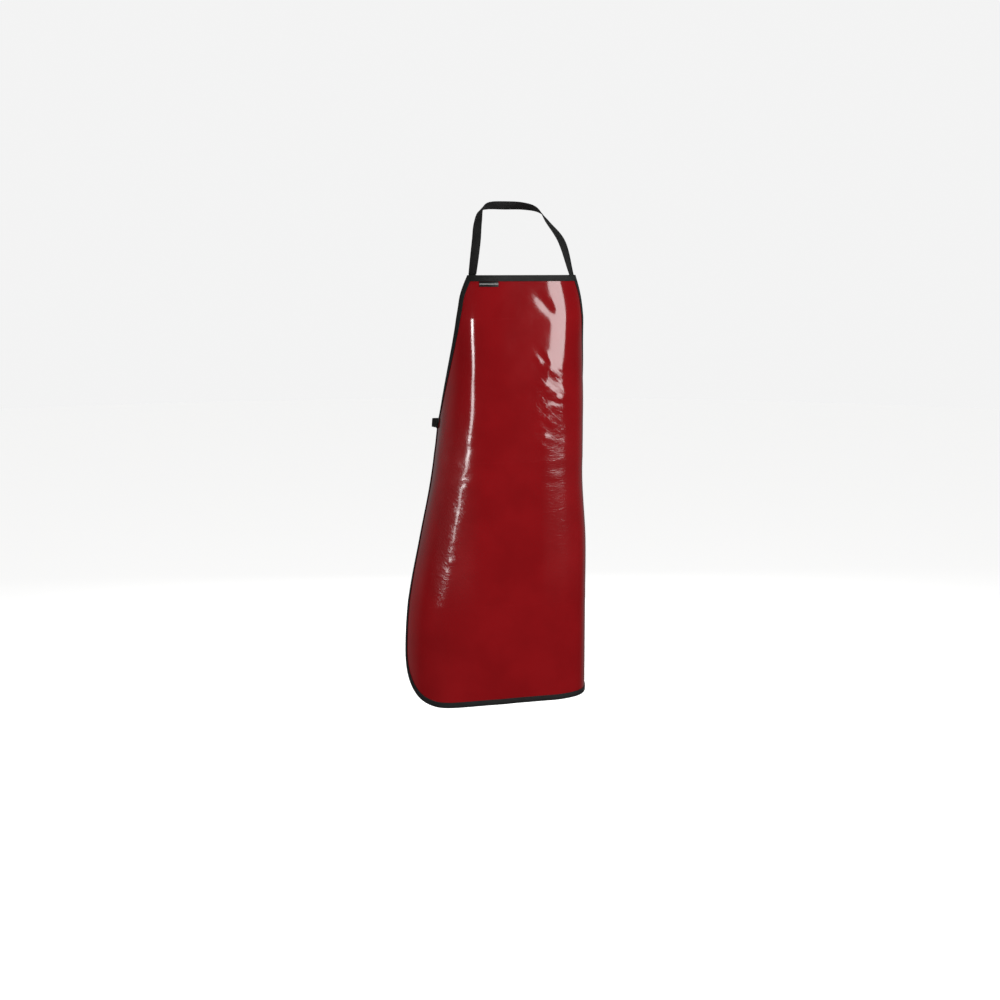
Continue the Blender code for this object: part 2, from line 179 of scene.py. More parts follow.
# Thread: a stitch's length, thickness and pitch, its line's distance from a tape's edge, the
# groove that it pulls, and the share of its half length where its ends bend down
STITCH_LENGTH = 0.0032
STITCH_THICKNESS = 0.00045
STITCH_PITCH = 0.0042
STITCH_INSET = 0.0026
STITCH_GROOVE = 0.00018
STITCH_GROOVE_HALF = 0.0008
STITCH_RISE = STITCH_THICKNESS * 0.2
STITCH_BEND = 0.7

# Binding tape, as shares of its wall: how far in and how deep its edge is softened, and how far
# it bulges beside its seam and between the seam and the fold
BINDING_SOFT = (0.25, 0.35)
BINDING_BULGES = (0.12, 0.18)

# Softened edges of flat straps and the label, as shares of the wall: how far in, and how far up
STRAP_SOFT = (0.42, 0.12)
LABEL_SOFT = (0.50, 0.15)

SIDES = (("right", -1.0), ("left", 1.0))
MIRROR = np.array((-1.0, 1.0, 1.0))

# Knot: cuts along each side, the pinches towards its ends as a share of its length and what is
# left of its depth and height there, and the wrap round its middle
KNOT_CUTS = 5
KNOT_PINCHES = ((0.25, 0.86, 0.90), (0.40, 0.82, 0.86))
KNOT_WRAP = 0.20
KNOT_RAISED = 0.0012
# How far each tie and each end runs into the knot, and how the ends sway and wave
TIE_INTO_KNOT = 0.004
END_SWAY = 0.0022
END_WAVE = 2.2

# Masks on the vinyl's flat map, which say where it was bent and pressed: the side of the map,
# from where to where each one eases as shares of the panel's width (X) or length (Y), and its
# values there
MASKS = {
    "upper": ("Y", 0.26, 0.45, 0.0, 1.0),
    "lower": ("Y", 0.66, 0.80, 1.0, 0.10),
    "deeper": ("Y", 0.46, 0.60, 0.8, 1.5),
    "above": ("Y", 0.14, 0.22, 0.0, 1.0),
    "below": ("Y", 0.33, 0.42, 1.0, 0.15),
    "right": ("X", 0.055, 0.10, 0.0, 1.0),
    "left": ("X", -0.24, -0.14, 2.0, 0.0),
    "flank": ("X", -0.38, -0.31, 0.0, 1.0),
    "aside": ("X", 0.02, 0.07, 0.0, 1.0),
}
# What is left of the folds and the crinkles elsewhere, how high each kind of unevenness stands,
# and half the width of a fold line
FAINT = 0.03
VINYL_RELIEF = {"swell": 0.00045, "folds": 0.0005, "crinkles": 0.0005, "lines": 0.00006,
                "peel": 0.000005, "weave": 0.0000035}
FOLD_LINE_REACH = 0.0016
# The label's pale line: its place round the label as a share of its girth, and where its half
# width starts and ends to fade
LABEL_LINE_PLACE = 0.27
LABEL_LINE_FADE = (0.0005, 0.0007)

# Camera: where it stands from the neck's middle, the way it looks, and its lens
CAMERA_TURN = math.radians(-15.0)
CAMERA_TILT = math.radians(10.0)
CAMERA_DISTANCE = 3.0
CAMERA_HEIGHT = -0.121
CAMERA_ASIDE = 0.0262
CAMERA_LENS = 48.78
CAMERA_SENSOR = 36.0

# Stage: the floor, and each soft light's turn from the front, height, distance, sizes and power
FLOOR_DROP = 1.62
FLOOR_RADIUS = 12.0
FLOOR_EDGE = 0.02
LIGHTS = named_rows(("name", "turn", "height", "distance", "width", "tall", "power"), (
    ("right_softbox", 35.5, 0.05, 2.4, 1.22, 1.70, 47.5),
    ("left_strip", -54.0, -0.44, 2.4, 0.28, 0.26, 4.9),
    ("left_low_strip", -54.0, -0.715, 2.4, 0.28, 0.29, 2.7),
    ("top_fill", -8.0, 2.60, 1.6, 2.00, 1.20, 14.0),
    ("left_fill", -75.0, 0.10, 2.6, 1.20, 1.60, 10.0),
    ("back_fill", 168.0, 0.60, 2.8, 2.20, 2.20, 55.0),
))
# Where the lights aim, as a share of the panel's length
LIGHT_AIM = 0.4
# The world's light, as the camera sees it, and as the gloss mirrors it: the reach behind the
# apron over which it rises, and from what to what
WORLD_LIGHT = 0.68
WORLD_SEEN = 0.90
WORLD_MIRRORED = (0.75, 0.02, 0.12)
FLOOR_GLOW = 0.36


def metres(name, default, description, low=0.0001):
    """A length that a user may change."""
    return bpy.props.FloatProperty(name=name, description=description, default=default,
                                   min=low, unit="LENGTH", precision=4)


def colour(name, default, description):
    """A colour that a user may change."""
    return bpy.props.FloatVectorProperty(name=name, description=description, default=default,
                                         size=3, min=0.0, max=1.0, subtype="COLOR")


class ApronPanelSizes(bpy.types.PropertyGroup):
    """The vinyl panel as it is cut flat, and how it hangs."""

    length: metres("Length", 0.945, "From the bib's top edge to the hem")
    width: metres("Width", 0.60, "Across the skirt, laid flat")
    bib_width: metres("Bib width", 0.256, "Across the bib's top edge")
    bib_shoulder: metres("Bib shoulder", 0.017, "How far the bib widens just below its top")
    shoulder_drop: metres("Shoulder drop", 0.055, "How far down the bib widens so")
    armhole_depth: metres("Armhole depth", 0.322, "From the top edge to the waist corner")
    armhole_fullness: bpy.props.FloatProperty(
        name="Armhole fullness", description="2 is an ellipse, and less is straighter",
        default=1.6, min=1.0, max=4.0)
    corner_radius: metres("Hem corner radius", 0.12, "Rounding of the two lower corners")
    wall: metres("Wall", 0.0012, "Thickness of the coated cloth")
    neck_depth: metres("Neck depth", 0.065, "From the nape to the neck's middle")
    bib_drop: metres("Bib drop", 0.150, "From the nape down to the bib's top edge")
    front_reach: metres("Front reach", 0.112, "From the neck's middle to the apron's front")
    back_reach: metres("Back reach", 0.118, "From the neck's middle to the knot")


class ApronTapeSizes(bpy.types.PropertyGroup):
    """Tapes, straps and the label."""

    binding_width: metres("Binding width", 0.013, "Of the tape that shows on each face")
    binding_wall: metres("Binding wall", 0.0010, "Thickness of the folded tape")
    strap_width: metres("Strap width", 0.019, "Of the neck strap and the waist ties")
    strap_wall: metres("Strap wall", 0.0012, "Thickness of the woven strap")
    neck_lap: metres("Neck lap", 0.022, "How far the neck strap is sewn down behind the bib")
    tie_bow: metres("Tie bow", 0.009, "How far a waist tie bows out at the corner")
    label_width: metres("Label width", 0.040, "Of the bare label")
    label_height: metres("Label height", 0.011, "Of the bare label")
    label_wall: metres("Label wall", 0.0008, "Thickness of the bare label")
    label_from_edge: metres("Label from edge", 0.028, "From the bib's side to the label")
    gap: metres("Gap", 0.0003, "Air between pieces that touch", 0.00001)


class ApronColours(bpy.types.PropertyGroup):
    """Colours of the finishes and the stage."""

    vinyl: colour("Vinyl", (0.198, 0.0033, 0.0051), "Coated face of the panel")
    backing: colour("Backing", (0.250, 0.014, 0.018), "Cloth back of the panel")
    tape: colour("Binding tape", (0.0075, 0.0075, 0.0072), "Folded edge tape")
    strap: colour("Strap", (0.0065, 0.0065, 0.0063), "Neck strap and waist ties")
    thread: colour("Thread", (0.020, 0.020, 0.0195), "Stitches")
    label: colour("Label", (0.0090, 0.0090, 0.0090), "Bare label")
    label_line: colour("Label line", (0.42, 0.42, 0.41), "Plain woven line along the label")
    floor: colour("Floor", (0.82, 0.82, 0.815), "Pale floor")


def eased(share):
    """Run smoothly from 0 to 1 while the share does, and stay there outside."""
    share = np.clip(share, 0.0, 1.0)
    return share * share * (3.0 - 2.0 * share)


def smooth_curve(keys, values, key):
    """Read a smooth curve through the values at the keys, for an array of keys."""
    slopes = np.gradient(values, keys)
    place = np.clip(np.searchsorted(keys, key, side="right") - 1, 0, len(keys) - 2)
    span = keys[place + 1] - keys[place]
    share = (key - keys[place]) / span
    rest = 1.0 - share
    start = values[place] * (1.0 + 2.0 * share) + slopes[place] * span * share
    end = values[place + 1] * (1.0 + 2.0 * rest) - slopes[place + 1] * span * rest
    return start * rest * rest + end * share * share


def unit(vectors):
    """The same vectors, one unit long."""
    return vectors / np.linalg.norm(vectors, axis=-1, keepdims=True)


def crumples():
    """Every small crumple as a dent, the same at each run."""
    random = np.random.default_rng(CRUMPLE_SEED)
    dents = []
    for region in CRUMPLED:
        for _ in range(region["count"]):
            aside, below = random.uniform(-1.0, 1.0, 2)
            depth = region["depth"] * random.uniform(CRUMPLE_LEAST, 1.0)
            dents.append((depth * random.choice((-1.0, 1.0)),
                          region["across"] + aside * region["wide"],
                          region["down"] + below * region["tall"],
                          random.uniform(*CRUMPLE_LONG), random.uniform(*CRUMPLE_SHORT),
                          region["tilt"] + random.uniform(-1.0, 1.0) * CRUMPLE_SWING))
    return named_rows(DENT_COLUMNS, dents)


def flat_points(across, down):
    """Points of the flat cloth from their two coordinates, each an array or one value."""
    return np.stack(np.broadcast_arrays(across, down), axis=-1)


def run_along(points):
    """The distance along a line of points."""
    steps = np.linalg.norm(np.diff(points, axis=0), axis=1)
    return np.concatenate(([0.0], np.cumsum(steps)))


def read_at(marks, run, points):
    """A line's columns read at marks along its run."""
    return np.stack([np.interp(marks, run, column) for column in points.T], axis=1)


def even_points(points, cells):
    """Spread points evenly along a finely drawn line; columns after the third only follow it."""
    points = np.array(points, dtype=float)
    run = run_along(points[:, :3])
    return read_at(np.linspace(0.0, run[-1], cells + 1), run, points)


class HungPanel:
    """The panel's cloth as it hangs: where each point of its flat pattern lies."""

    def __init__(self, sizes, tapes):
        self.sizes = sizes
        self.tapes = tapes
        self.half_width = sizes.width / 2
        self.half_bib = sizes.bib_width / 2
        self.face = sizes.wall / 2
        self.binding_in = self.face + tapes.gap
        self.binding_out = self.binding_in + tapes.binding_wall
        self.lap_air = tapes.gap * 3
        self.mitre_cut = tapes.gap * 0.75
        self.dents = [*DENTS, *crumples()]

    def relief(self, across, down):
        """How far the cloth stands out from its plain hanging form."""
        share = down / self.sizes.length
        distance = np.min([np.abs(share - line) for line in FOLD_LINES], axis=0)
        distance = distance * self.sizes.length
        height = FOLD_LIFT * (1.0 - eased(distance / FOLD_SPREAD))
        height = height + FOLD_RIDGE * np.exp(-(distance / FOLD_RIDGE_WIDTH) ** 2)
        for wave in WAVES:
            strength = np.exp(-((share - wave["middle"]) / wave["reach"]) ** 2)
            turns = across / wave["across"] + down / wave["down"] + wave["phase"]
            height = height + wave["height"] * strength * np.sin(2.0 * math.pi * turns)
        for dent in self.dents:
            tilt = math.radians(dent["tilt"])
            aside = across - dent["across"] * self.half_width
            below = down - dent["down"] * self.sizes.length
            along = aside * math.cos(tilt) + below * math.sin(tilt)
            beside = below * math.cos(tilt) - aside * math.sin(tilt)
            spread = (along / dent["long"]) ** 2 + (beside / dent["short"]) ** 2
            height = height - dent["depth"] * np.exp(-spread)
        return height

    def place(self, across, down):
        """Where points of the flat cloth lie on the hanging panel's middle surface."""
        share = down / self.sizes.length
        levels = {name: smooth_curve(LEVELS["down"], LEVELS[name], share)
                  for name in LEVEL_COLUMNS[1:]}
        left = across >= 0.0
        run = np.where(left, levels["left_run"], levels["right_run"]) * self.half_width
        bend = np.where(left, levels["left_bend"], levels["right_bend"]) * self.half_width
        turn = np.radians(np.where(left, levels["left_turn"], levels["right_turn"]))
        step = np.abs(across) / SECTION_STEPS
        middles = (np.arange(SECTION_STEPS) + 0.5) * step[..., None]
        turns = turn[..., None] * eased((middles - run[..., None]) / bend[..., None])
        side = np.where(left, 1.0, -1.0)
        height = self.relief(across, down)
        last_turn = turn * eased((np.abs(across) - run) / bend)
        out = side * (step * np.cos(turns).sum(axis=-1) + height * np.sin(last_turn))
        back = step * np.sin(turns).sum(axis=-1) - height * np.cos(last_turn)
        ahead = self.sizes.front_reach * levels["reach"]
        return np.stack([out, back - self.sizes.neck_depth - ahead,
                         -self.sizes.bib_drop - down], axis=-1)

    def facing(self, across, down):
        """The way that the panel's outer face looks."""
        along = self.place(across + SLOPE_REACH, down) - self.place(across - SLOPE_REACH, down)
        fall = self.place(across, down + SLOPE_REACH) - self.place(across, down - SLOPE_REACH)
        return unit(np.cross(fall, along))

    def lifted(self, across, down, lift):
        """Points at a distance outside the panel's middle surface."""
        across, down, lift = (part.astype(float)
                              for part in np.broadcast_arrays(across, down, lift))
        return self.place(across, down) + lift[..., None] * self.facing(across, down)

    def armhole_line(self):
        """The finished edge from the bib's corner to the waist corner, on the wearer's left."""
        sizes = self.sizes
        angles = np.linspace(0.0, math.pi / 2, EDGE_POINTS)
        power = 2.0 / sizes.armhole_fullness
        down = sizes.armhole_depth * np.sin(angles) ** power
        room = self.half_width - self.half_bib - sizes.bib_shoulder
        sweep = room * (1.0 - np.cos(angles) ** power)
        rise = np.clip(down / sizes.shoulder_drop, 0.0, 1.0)
        shoulder = sizes.bib_shoulder * np.sin(rise * math.pi / 2)
        return even_points(flat_points(self.half_bib + shoulder + sweep, down), CELLS_ARMHOLE)

    def side_line(self):
        """The finished edge from the waist corner to the top of the hem's corner."""
        ends = (self.sizes.armhole_depth, self.sizes.length - self.sizes.corner_radius)
        return even_points(flat_points(self.half_width, ends), CELLS_SIDE)

    def corner_line(self):
        """The rounded corner between the side and the hem."""
        angles = np.linspace(0.0, math.pi / 2, CELLS_CORNER + 1)
        radius = self.sizes.corner_radius
        return flat_points(self.half_width - radius * (1.0 - np.cos(angles)),
                           self.sizes.length - radius * (1.0 - np.sin(angles)))

    def side_edge(self):
        """Stations from the bib's corner to the hem, and the steps that move them inwards."""
        stations = np.concatenate([self.armhole_line(), self.side_line()[1:],
                                   self.corner_line()[1:]])
        ways = unit(np.diff(stations, axis=0))
        ways = np.vstack([(1.0, 0.0), ways, (-1.0, 0.0)])
        inward = flat_points(-ways[:, 1], ways[:, 0])
        middle = inward[:-1] + inward[1:]
        steps = 2.0 * middle / (middle * middle).sum(axis=1)[:, None]
        return stations, steps

    def level_edge(self, corner, step):
        """Stations along the top or the hem, from the wearer's right to the left corner."""
        shares = np.linspace(-1.0, 1.0, CELLS_ACROSS + 1)
        return flat_points(shares * corner[0], corner[1]), flat_points(shares * step[0], step[1])

    def flat_area(self):
        """Area of the flat pattern."""
        stations, _ = self.side_edge()
        return 2.0 * float(np.trapz(stations[:, 0], stations[:, 1]))


def linked(context, name, data):
    """A new object in the scene."""
    obj = bpy.data.objects.new(name, data)
    context.scene.collection.objects.link(obj)
    return obj


def piece_from(name, points, faces, corners=None):
    """A new object from points and faces, with a flat map in metres where corners are given."""
    mesh = bpy.data.meshes.new(name)
    mesh.from_pydata([tuple(point) for point in points], [], [tuple(face) for face in faces])
    if corners is not None:
        layer = mesh.uv_layers.new(name=FLAT_MAP)
        layer.data.foreach_set("uv", np.concatenate(corners).astype(np.float32).ravel())
    mesh.validate()
    mesh.shade_smooth()
    return linked(bpy.context, name, mesh)


def sheet_piece(name, points, flat):
    """An open sheet through a grid of points, mapped flat; its face looks along fall x across."""
    rows, columns = points.shape[:2]
    row, column = np.meshgrid(np.arange(rows - 1), np.arange(columns - 1), indexing="ij")
    first = (row * columns + column).ravel()
    faces = np.stack([first, first + columns, first + columns + 1, first + 1], axis=1)
    places = flat.reshape(-1, 2)
    return piece_from(name, points.reshape(-1, 3), faces, [places[face] for face in faces])


def tube_piece(name, rings, along, around, caps):
    """A closed section lofted through rings; along and around are its flat map in metres."""
    count, size = rings.shape[:2]
    faces = []
    corners = []
    for ring in range(count - 1):
        for corner in range(size):
            after = (corner + 1) % size
            faces.append((ring * size + corner, ring * size + after,
                          (ring + 1) * size + after, (ring + 1) * size + corner))
            corners.append(np.array([(around[corner], along[ring]),
                                     (around[corner + 1], along[ring]),
                                     (around[corner + 1], along[ring + 1]),
                                     (around[corner], along[ring + 1])]))
    for base, mark, backwards in ((0, along[0], True), ((count - 1) * size, along[-1], False)):
        for cap in caps:
            cap = cap[::-1] if backwards else cap
            faces.append(tuple(base + corner for corner in cap))
            corners.append(np.array([(around[corner], mark) for corner in cap]))
    tube = piece_from(name, rings.reshape(-1, 3), faces, corners)
    face_outwards(tube)
    return tube


def pick_only(obj):
    """Leave one object selected and active."""
    bpy.ops.object.select_all(action="DESELECT")
    obj.select_set(True)
    bpy.context.view_layer.objects.active = obj


def face_outwards(obj):
    """Turn a closed piece's faces outwards."""
    pick_only(obj)
    bpy.ops.object.mode_set(mode="EDIT")
    bpy.ops.mesh.select_all(action="SELECT")
    bpy.ops.mesh.normals_make_consistent(inside=False)
    bpy.ops.object.mode_set(mode="OBJECT")


def pick_points(obj, wanted):
    """In edit mode, leave only the wanted points of a piece selected."""
    bpy.ops.mesh.select_mode(type="VERT")
    bpy.ops.mesh.select_all(action="DESELECT")
    bpy.ops.object.mode_set(mode="OBJECT")
    for vertex in obj.data.vertices:
        vertex.select = wanted(vertex.co)
    bpy.ops.object.mode_set(mode="EDIT")


def apply_modifier(obj, name, kind, **settings):
    """Add a modifier to a piece and apply it."""
    pick_only(obj)
    modifier = obj.modifiers.new(name, kind)
    for setting, value in settings.items():
        setattr(modifier, setting, value)
    bpy.ops.object.modifier_apply(modifier=modifier.name)


def settle(context, obj, look, node=None):
    """Give a piece its look by name, its body and the node that it stands for."""
    if look:
        obj.data.materials.append(finish(context, look))
    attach(obj, BODY)
    if node:
        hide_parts(node)
    return obj


def hung_panel(context):
    """The hanging cloth for the sizes that are set in the scene."""
    return HungPanel(context.scene.apron_panel, context.scene.apron_tape)


def binding_section(cloth):
    """The folded tape's section: how far in from the edge and how far out, and its end caps."""
    width = cloth.tapes.binding_width
    wall = cloth.tapes.binding_wall
    out = cloth.binding_out
    inside = cloth.binding_in
    beside, between = (wall * share for share in BINDING_BULGES)
    line = width - STITCH_INSET
    outer = [(width, out - wall * BINDING_SOFT[1]), (width - wall * BINDING_SOFT[0], out),
             (line + STITCH_GROOVE_HALF, out + beside), (line, out - STITCH_GROOVE),
             (line - STITCH_GROOVE_HALF, out + beside), ((line + out) / 2, out + between),
             (out, out)]
    inner = [(inset, inside) for inset, lift in outer]
    angles = np.linspace(math.pi / 2, -math.pi / 2, CELLS_FOLD + 1)[1:-1]
    outer_fold = [(out * (1.0 - math.cos(angle)), out * math.sin(angle)) for angle in angles]
    inner_fold = [(wall + inside * (1.0 - math.cos(angle)), inside * math.sin(angle))
                  for angle in angles]
    outer = outer + outer_fold + [(inset, -lift) for inset, lift in outer[::-1]]
    inner = inner + inner_fold + [(inset, -lift) for inset, lift in inner[::-1]]
    section = np.array(outer + inner[::-1])
    last = len(section) - 1
    caps = [(corner, corner + 1, last - corner - 1, last - corner)
            for corner in range(len(outer) - 1)]
    return section, caps


def trimmed(stations, cut):
    """The same stations with the first and last moved in, to leave air at the mitres."""
    stations = np.array(stations)
    ways = unit(np.diff(stations, axis=0))
    stations[0] += cut * ways[0]
    stations[-1] -= cut * ways[-1]
    return stations


def bound_edges(cloth):
    """Stations and inward steps of each bound edge, by the name of the node it stands for."""
    stations, steps = cloth.side_edge()
    mirror = np.array((-1.0, 1.0))
    end = CELLS_ARMHOLE + 1
    low = slice(CELLS_ARMHOLE, None)
    hem_stations, hem_steps = cloth.level_edge(stations[-1], steps[-1])
    around = np.concatenate([stations[low] * mirror, hem_stations[1:-1], stations[low][::-1]])
    around_steps = np.concatenate([steps[low] * mirror, hem_steps[1:-1], steps[low][::-1]])
    return {
        "top_binding": cloth.level_edge(stations[0], steps[0]),
        "armhole_binding_right": (stations[:end] * mirror, steps[:end] * mirror),
        "armhole_binding_left": (stations[:end], steps[:end]),
        "side_and_hem_binding": (around, around_steps),
    }


def stitch_shape():
    """One stitch, modelled along X with its top up, as points and faces."""
    bpy.ops.object.select_all(action="DESELECT")
    bpy.ops.mesh.primitive_uv_sphere_add(segments=8, ring_count=5, radius=0.5)
    stitch = bpy.context.active_object
    bpy.ops.object.mode_set(mode="EDIT")
    bpy.ops.mesh.select_all(action="SELECT")
    bpy.ops.transform.rotate(value=math.pi / 2, orient_axis="Y", center_override=(0, 0, 0))
    bpy.ops.transform.resize(value=(STITCH_LENGTH, STITCH_THICKNESS, STITCH_THICKNESS),
                             center_override=(0, 0, 0))
    pick_points(stitch, lambda place: abs(place.x) > STITCH_BEND * STITCH_LENGTH / 2)
    bpy.ops.transform.translate(value=(0.0, 0.0, -STITCH_THICKNESS / 2))
    bpy.ops.object.mode_set(mode="OBJECT")
    points = np.array([vertex.co for vertex in stitch.data.vertices])
    faces = [tuple(face.vertices) for face in stitch.data.polygons]
    mesh = stitch.data
    bpy.data.objects.remove(stitch)
    bpy.data.meshes.remove(mesh)
    return points, faces


def sewn_line(points, facing):
    """Stitches spaced evenly along a line: each one's middle, way along and way up."""
    run = run_along(points)
    count = max(int((run[-1] - STITCH_LENGTH) / STITCH_PITCH), 1)
    spare = (run[-1] - count * STITCH_PITCH) / 2
    marks = spare + (np.arange(count) + 0.5) * STITCH_PITCH
    half = STITCH_LENGTH / 2
    ways = unit(read_at(marks + half, run, points) - read_at(marks - half, run, points))
    ups = read_at(marks, run, facing)
    ups = unit(ups - (ups * ways).sum(axis=1, keepdims=True) * ways)
    return read_at(marks, run, points), ways, ups


def stitches_piece(context, name, lines):
    """One piece that holds all the stitches of some sewn lines."""
    shape, shape_faces = stitch_shape()
    points = []
    faces = []
    for middles, ways, ups in lines:
        sides = np.cross(ups, ways)
        for middle, way, side, up in zip(middles, ways, sides, ups):
            first = len(points) * len(shape)
            points.append(middle + shape @ np.stack([way, side, up]))
            faces.extend(tuple(first + corner for corner in face) for face in shape_faces)
    obj = piece_from(name, np.concatenate(points), faces)
    return settle(context, obj, "Black thread")


def section_girth(section):
    """The distance round a closed section."""
    return run_along(np.vstack([section, section[:1]]))


def soft_section(width, wall, softness):
    """A flat strap's section with soft edges: aside from its middle, out from its inner face."""
    half = width / 2
    soft = wall * softness[0]
    rise = softness[1]
    flank = [(half - soft, 0.0), (half - soft * 0.3, wall * rise), (half, wall * 0.5),
             (half - soft * 0.3, wall * (1.0 - rise)), (half - soft, wall)]
    return np.array(flank + [(-aside, wall - out) for aside, out in flank])


def strap_piece(context, name, node, cloth, frames):
    """A flat woven strap through frames along its inner face, and its length."""
    middles, sides, outs = frames
    width = cloth.tapes.strap_width
    section = soft_section(width, cloth.tapes.strap_wall, STRAP_SOFT)
    rings = (middles[:, None] + section[None, :, :1] * sides[:, None]
             + section[None, :, 1:] * outs[:, None])
    along = run_along(middles)
    strap = tube_piece(name, rings, along, section_girth(section) - width / 2,
                       [tuple(range(len(section)))])
    settle(context, strap, "Black woven strap", node)
    return strap, float(along[-1])


def smooth_route(points, cells):
    """Evenly spaced points on a smooth line through route points of any width."""
    points = np.array(points, dtype=float)
    keys = run_along(points[:, :3])
    fine_keys = np.linspace(0.0, keys[-1], ROUTE_POINTS)
    fine = np.stack([smooth_curve(keys, column, fine_keys) for column in points.T], axis=1)
    return even_points(fine, cells)


def strap_frames(route):
    """Middles, ways aside and ways out of a strap along its route."""
    ways = np.gradient(route[:, :3], axis=0)
    sides = unit(np.cross(ways, route[:, 3:]))
    return route[:, :3], sides, unit(np.cross(sides, ways))


def lap_frames(cloth, starts, ends, lift):
    """The same for a strap that lies on the panel, from its two edges on the flat cloth."""
    middles = (starts + ends).T / 2
    aside = cloth.lifted(*ends.T, lift) - cloth.lifted(*starts.T, lift)
    return cloth.lifted(*middles, lift), unit(aside), cloth.facing(*middles)


def sewn_box(frames, cloth, first, last, lift):
    """Stitches in a box with a cross between two stations of a strap's frames."""
    middles, sides, outs = (part[first:last + 1] for part in frames)
    edge = cloth.tapes.strap_width / 2 - STITCH_INSET
    shares = np.linspace(-1.0, 1.0, len(middles))
    raised = middles + lift * outs
    facing = outs * math.copysign(1.0, lift)
    lines = [sewn_line(raised + aside[:, None] * sides, facing)
             for aside in (np.full(len(middles), edge), np.full(len(middles), -edge),
                           shares * edge, -shares * edge)]
    for end in (0, -1):
        ends = np.stack([raised[end] + aside * sides[end] for aside in (-edge, edge)])
        lines.append(sewn_line(ends, np.stack([facing[end], facing[end]])))
    return lines


def sewn_strap(context, name, node, cloth, frames, boxes, lift):
    """A strap that is sewn down with a box of stitches between each pair of stations."""
    strap, length = strap_piece(context, name, node, cloth, frames)
    lines = [line for first, last in boxes
             for line in sewn_box(frames, cloth, first, last, lift)]
    sewing = stitches_piece(context, name.replace("webbing", "stitches"), lines)


class APRON_OT_panel(bpy.types.Operator):
    """Hang the vinyl panel, bib and skirt in one"""

    bl_idname = "apron.panel"
    bl_label = "Vinyl panel"

    def execute(self, context):
        cloth = hung_panel(context)
        tapes = cloth.tapes
        stations, steps = cloth.side_edge()
        rim = stations + (tapes.binding_wall + tapes.gap) * steps
        flat = flat_points(rim[:, :1] * np.linspace(-1.0, 1.0, CELLS_ACROSS + 1), rim[:, 1:])
        panel = sheet_piece("vinyl_panel", cloth.place(flat[..., 0], flat[..., 1]), flat)
        for look in ("Red coated vinyl", "Red backing cloth"):
            panel.data.materials.append(finish(context, look))
        apply_modifier(panel, "Wall", "SOLIDIFY", thickness=cloth.sizes.wall, offset=0.0,
                       material_offset=1, material_offset_rim=1)
        settle(context, panel, None, "apron_panel")
        return {"FINISHED"}


class APRON_OT_bindings(bpy.types.Operator):
    """Fold and sew the black tape over every edge of the panel"""

    bl_idname = "apron.bindings"
    bl_label = "Edge bindings"

    def execute(self, context):
        cloth = hung_panel(context)
        section, caps = binding_section(cloth)
        line = cloth.tapes.binding_width - STITCH_INSET
        top = cloth.binding_out - STITCH_GROOVE + STITCH_THICKNESS * 0.25
        for node, (stations, steps) in bound_edges(cloth).items():
            ends = trimmed(stations, cloth.mitre_cut)
            flat = ends[:, None] + section[None, :, :1] * steps[:, None]
            rings = cloth.lifted(flat[..., 0], flat[..., 1], section[None, :, 1])
            along = run_along(stations)
            tape = tube_piece(node.replace("binding", "tape"), rings, along,
                              section_girth(section), caps)
            settle(context, tape, "Black binding tape", node)
            sewn = (ends + line * steps).T
            lines = [sewn_line(cloth.lifted(*sewn, way * top), way * cloth.facing(*sewn))
                     for way in (1.0, -1.0)]
            sewing = stitches_piece(context, node.replace("binding", "stitches"), lines)
        return {"FINISHED"}


class APRON_OT_neck_strap(bpy.types.Operator):
    """Run the woven strap from one corner of the bib round the nape to the other"""

    bl_idname = "apron.neck_strap"
    bl_label = "Neck strap"

    def execute(self, context):
        cloth = hung_panel(context)
        tapes = cloth.tapes
        outer_edge = cloth.half_bib - tapes.binding_wall
        inner_edge = outer_edge - tapes.strap_width
        lift = -(cloth.binding_out + cloth.lap_air + tapes.strap_wall)
        downs = np.linspace(tapes.neck_lap, 0.0, CELLS_LAP + 1)
        lap = lap_frames(cloth, flat_points(inner_edge, downs), flat_points(outer_edge, downs),
                         lift)
        facing = cloth.facing(np.array([(inner_edge + outer_edge) / 2]), np.array([0.0]))[0]
        free = np.stack([NECK["out"] * cloth.half_bib, -NECK["ahead"] * cloth.sizes.neck_depth,
                         -NECK["below"] * cloth.sizes.bib_drop, NECK["face_out"],
                         NECK["face_back"], NECK["face_up"]], axis=1)
        left = np.vstack([(*lap[0][-1], *facing), free])
        right = left[-2::-1] * (-1.0, 1.0, 1.0, -1.0, 1.0, 1.0)
        loop = strap_frames(smooth_route(np.concatenate([left, right]), CELLS_NECK))
        frames = [np.concatenate([near, middle[1:-1], near[::-1] * turn])
                  for near, middle, turn in zip(lap, loop, (MIRROR, -MIRROR, MIRROR))]
        last = len(frames[0]) - 1
        boxes = ((1, CELLS_LAP - 1), (last - CELLS_LAP + 1, last - 1))
        sewn_strap(context, "neck_webbing", "neck_strap", cloth, frames, boxes, -STITCH_RISE)
        return {"FINISHED"}


